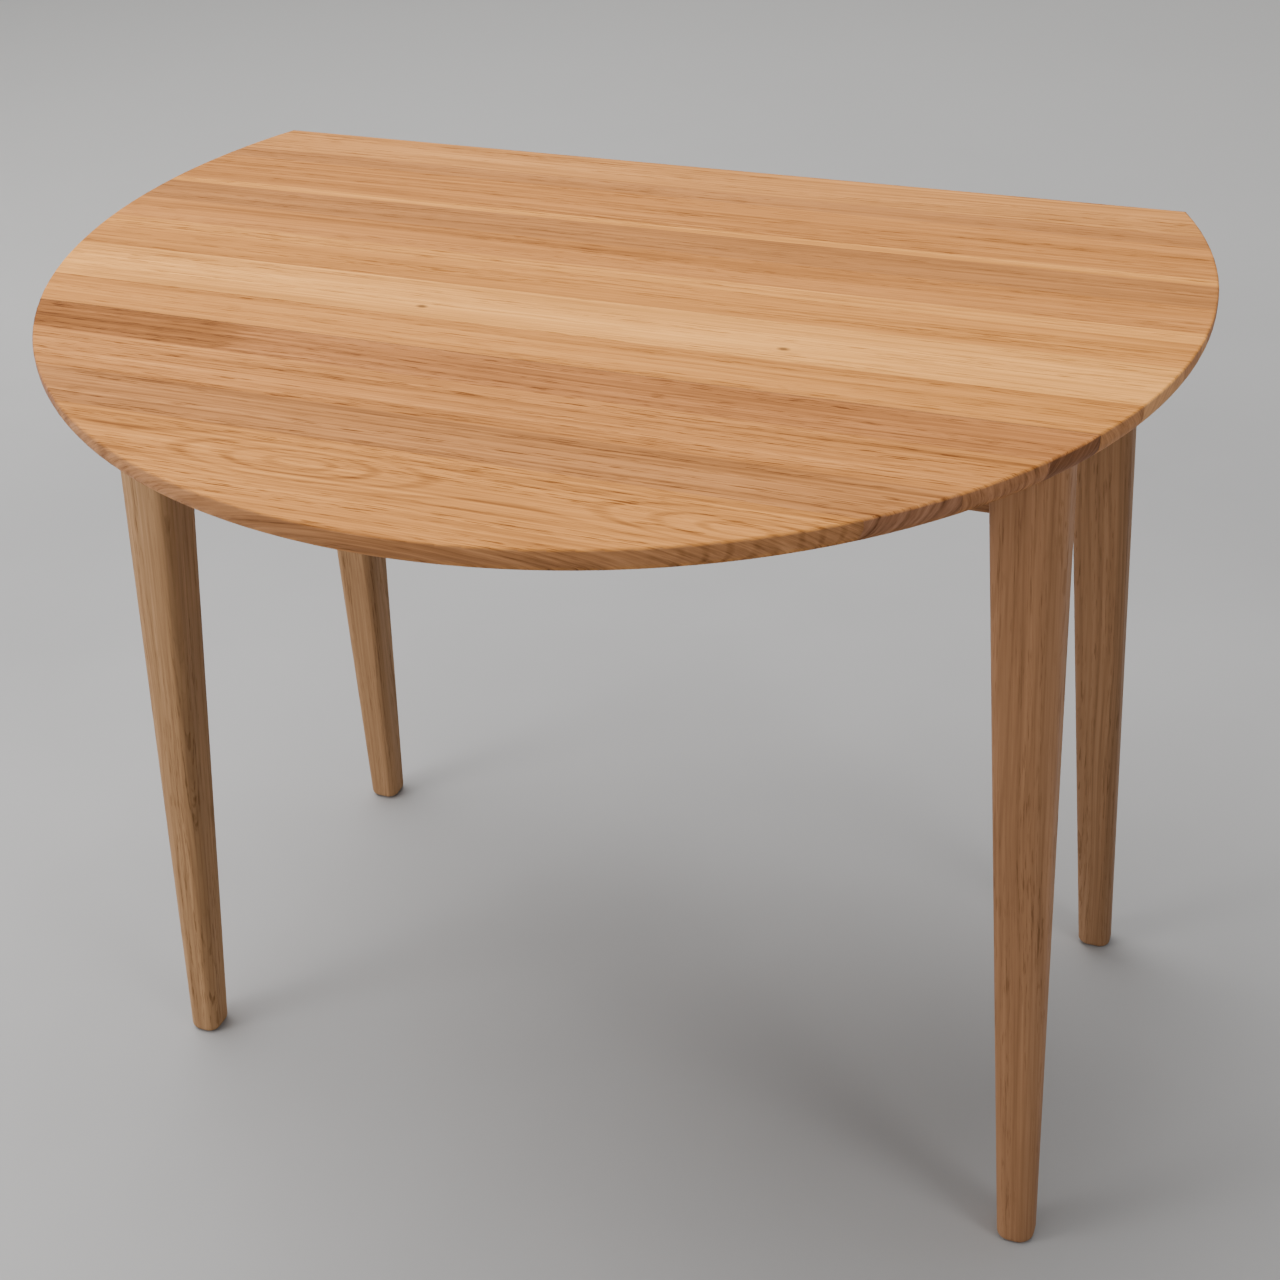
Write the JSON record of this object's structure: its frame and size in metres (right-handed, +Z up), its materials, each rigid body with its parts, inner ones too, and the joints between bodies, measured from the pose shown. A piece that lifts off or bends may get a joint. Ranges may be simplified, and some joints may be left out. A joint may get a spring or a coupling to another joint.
{
  "type": "drop leaf table",
  "caption": "Round wooden table with a fixed centre panel, a hinged leaf at the front and the rear, folding leaf stays, and splayed tapered legs.",
  "frame": {"origin": "centre of the bounding box on the floor, with the front leaf up and the rear leaf hanging", "axes": "+X to the right along the seams, +Y to the rear where the hanging leaf is, +Z up"},
  "size_m": [0.88, 0.6576, 0.75],
  "materials": {
    "centre_panel": "light oiled oak",
    "front_leaf": "light oiled oak",
    "rear_leaf": "light oiled oak",
    "legs": "light oiled oak",
    "rails": "light oiled oak",
    "blocks": "bare hardwood",
    "screws": "zinc plated",
    "bolts": "zinc plated",
    "hinges": "zinc plated",
    "hinge_pins": "zinc plated",
    "stays": "zinc plated",
    "stay_pins": "zinc plated"
  },
  "bodies": {
    "frame": {"block_screws": "screws", "bolt_nuts": "bolts", "bolt_washers": "bolts", "button_screws": "screws", "centre_panel": "centre_panel", "frame_screws": "screws", "front_left_corner_block": "blocks", "front_left_hinge_fixed_flap": "hinges", "front_left_hinge_pin": "hinge_pins", "front_left_leg": "legs", "front_left_stay_bracket": "stays", "front_left_stay_rivet": "stay_pins", "front_rail": "rails", "front_right_corner_block": "blocks", "front_right_hinge_fixed_flap": "hinges", "front_right_hinge_pin": "hinge_pins", "front_right_leg": "legs", "front_right_stay_bracket": "stays", "front_right_stay_rivet": "stay_pins", "hanger_bolts": "bolts", "left_rail": "rails", "rear_left_corner_block": "blocks", "rear_left_hinge_fixed_flap": "hinges", "rear_left_hinge_pin": "hinge_pins", "rear_left_leg": "legs", "rear_left_stay_bracket": "stays", "rear_left_stay_rivet": "stay_pins", "rear_rail": "rails", "rear_right_corner_block": "blocks", "rear_right_hinge_fixed_flap": "hinges", "rear_right_hinge_pin": "hinge_pins", "rear_right_leg": "legs", "rear_right_stay_bracket": "stays", "rear_right_stay_rivet": "stay_pins", "right_rail": "rails", "top_buttons": "blocks"},
    "front_leaf": {"front_leaf": "front_leaf", "front_leaf_screws": "screws", "front_left_hinge_leaf_flap": "hinges", "front_left_stay_track": "stays", "front_right_hinge_leaf_flap": "hinges", "front_right_stay_track": "stays"},
    "rear_leaf": {"rear_leaf": "rear_leaf", "rear_leaf_screws": "screws", "rear_left_hinge_leaf_flap": "hinges", "rear_left_stay_track": "stays", "rear_right_hinge_leaf_flap": "hinges", "rear_right_stay_track": "stays"},
    "front_left_arm": {"front_left_stay_arm": "stays", "front_left_stay_stud": "stay_pins"},
    "front_right_arm": {"front_right_stay_arm": "stays", "front_right_stay_stud": "stay_pins"},
    "rear_left_arm": {"rear_left_stay_arm": "stays", "rear_left_stay_stud": "stay_pins"},
    "rear_right_arm": {"rear_right_stay_arm": "stays", "rear_right_stay_stud": "stay_pins"}
  },
  "joints": [
    {"name": "front_leaf_fold", "type": "hinge", "parent": "frame", "child": "front_leaf", "pos_m": [0, -0.08275, 0.7265], "axis": [1, 0, 0], "range_deg": [0, 90]},
    {"name": "rear_leaf_lift", "type": "hinge", "parent": "frame", "child": "rear_leaf", "pos_m": [0, 0.30525, 0.7265], "axis": [1, 0, 0], "range_deg": [0, 90]},
    {"name": "front_left_arm_swing", "type": "hinge", "parent": "frame", "child": "front_left_arm", "pos_m": [-0.08, -0.06675, 0.6815], "axis": [1, 0, 0], "range_deg": [0, 105.27]},
    {"name": "front_right_arm_swing", "type": "hinge", "parent": "frame", "child": "front_right_arm", "pos_m": [0.08, -0.06675, 0.6815], "axis": [1, 0, 0], "range_deg": [0, 105.27]},
    {"name": "rear_left_arm_swing", "type": "hinge", "parent": "frame", "child": "rear_left_arm", "pos_m": [-0.08, 0.28925, 0.6815], "axis": [1, 0, 0], "range_deg": [0, 105.27]},
    {"name": "rear_right_arm_swing", "type": "hinge", "parent": "frame", "child": "rear_right_arm", "pos_m": [0.08, 0.28925, 0.6815], "axis": [1, 0, 0], "range_deg": [0, 105.27]}
  ],
  "couplings": [
    {"joint": "front_left_arm_swing", "follows": "front_leaf_fold", "ratio": 1.1695},
    {"joint": "front_right_arm_swing", "follows": "front_leaf_fold", "ratio": 1.1695},
    {"joint": "rear_left_arm_swing", "follows": "rear_leaf_lift", "ratio": 1.1695},
    {"joint": "rear_right_arm_swing", "follows": "rear_leaf_lift", "ratio": 1.1695}
  ]
}
